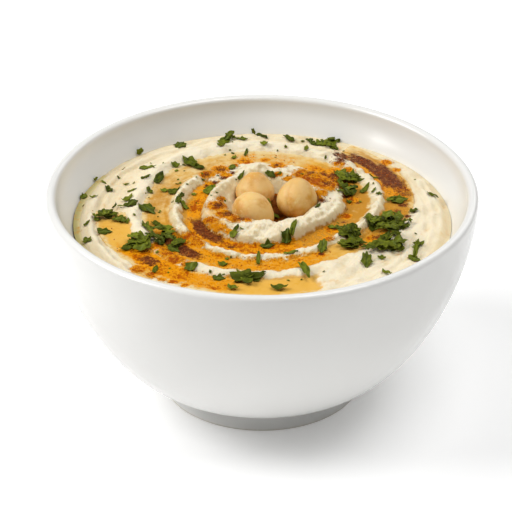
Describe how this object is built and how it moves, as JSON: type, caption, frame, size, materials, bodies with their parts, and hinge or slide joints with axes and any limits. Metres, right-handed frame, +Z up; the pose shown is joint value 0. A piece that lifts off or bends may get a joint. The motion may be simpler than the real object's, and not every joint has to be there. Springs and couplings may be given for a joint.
{
  "type": "bowl of hummus",
  "caption": "Hummus swirled in a plain white glazed bowl, with seasoned oil in its grooves, chickpeas in its middle and chopped parsley on top.",
  "frame": {"origin": "middle of the foot ring's underside, on the surface that the bowl stands on", "axes": "+Z up along the bowl's axis; the view that shows the dish looks along +Y from the -Y side, with +X to its right"},
  "size_m": [0.13, 0.13, 0.0668],
  "materials": {
    "glaze": "plain white gloss glaze",
    "hummus": "smooth cream paste with fine grain and orange oil stains",
    "oil": "glossy orange seasoned olive oil",
    "chickpea": "moist tan skin",
    "parsley": "chopped dark green leaf",
    "paprika": "ground red-brown spice, damp with oil"
  },
  "bodies": {
    "root": {"bowl": "glaze", "hummus": "hummus", "oil_swirl": "oil", "oil_pool": "oil", "oil_crater": "oil", "oil_edge": "oil", "chickpea_left": "chickpea", "chickpea_right": "chickpea", "chickpea_back": "chickpea"}
  },
  "joints": []
}
